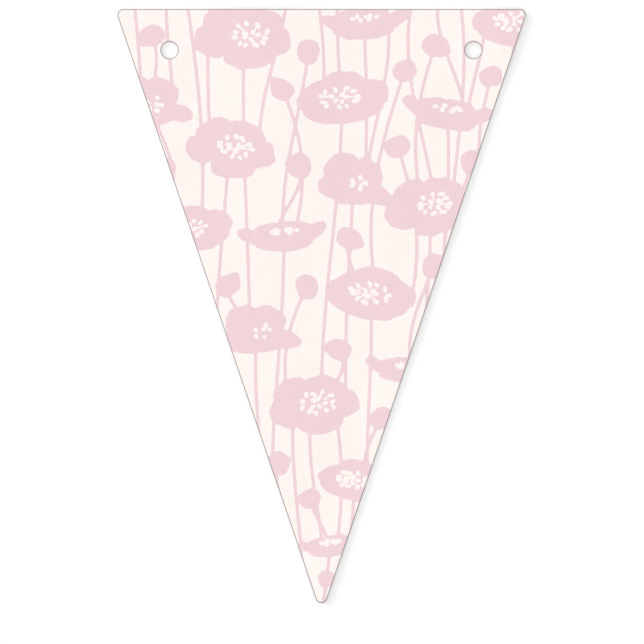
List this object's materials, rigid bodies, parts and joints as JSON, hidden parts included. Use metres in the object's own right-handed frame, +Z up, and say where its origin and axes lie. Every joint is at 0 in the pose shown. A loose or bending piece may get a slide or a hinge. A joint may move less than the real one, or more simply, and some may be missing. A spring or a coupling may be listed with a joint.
{
  "type": "bunting flag",
  "caption": "Tall triangular cloth pennant with rounded corners, a printed flower pattern and a punched cord hole near each top corner, lying flat.",
  "frame": {"origin": "on the surface that the flag lies on, under the middle of the box round its outline", "axes": "+Y from the tip towards the straight top edge, +X to the right as seen from the printed face, +Z up out of the printed face"},
  "size_m": [0.1396, 0.2032, 0.001],
  "materials": {
    "printed_cloth": "matt fine-woven cloth, cream with a pale pink flower print, clean cut edges"
  },
  "bodies": {
    "root": {"flag": "printed_cloth"}
  },
  "joints": []
}
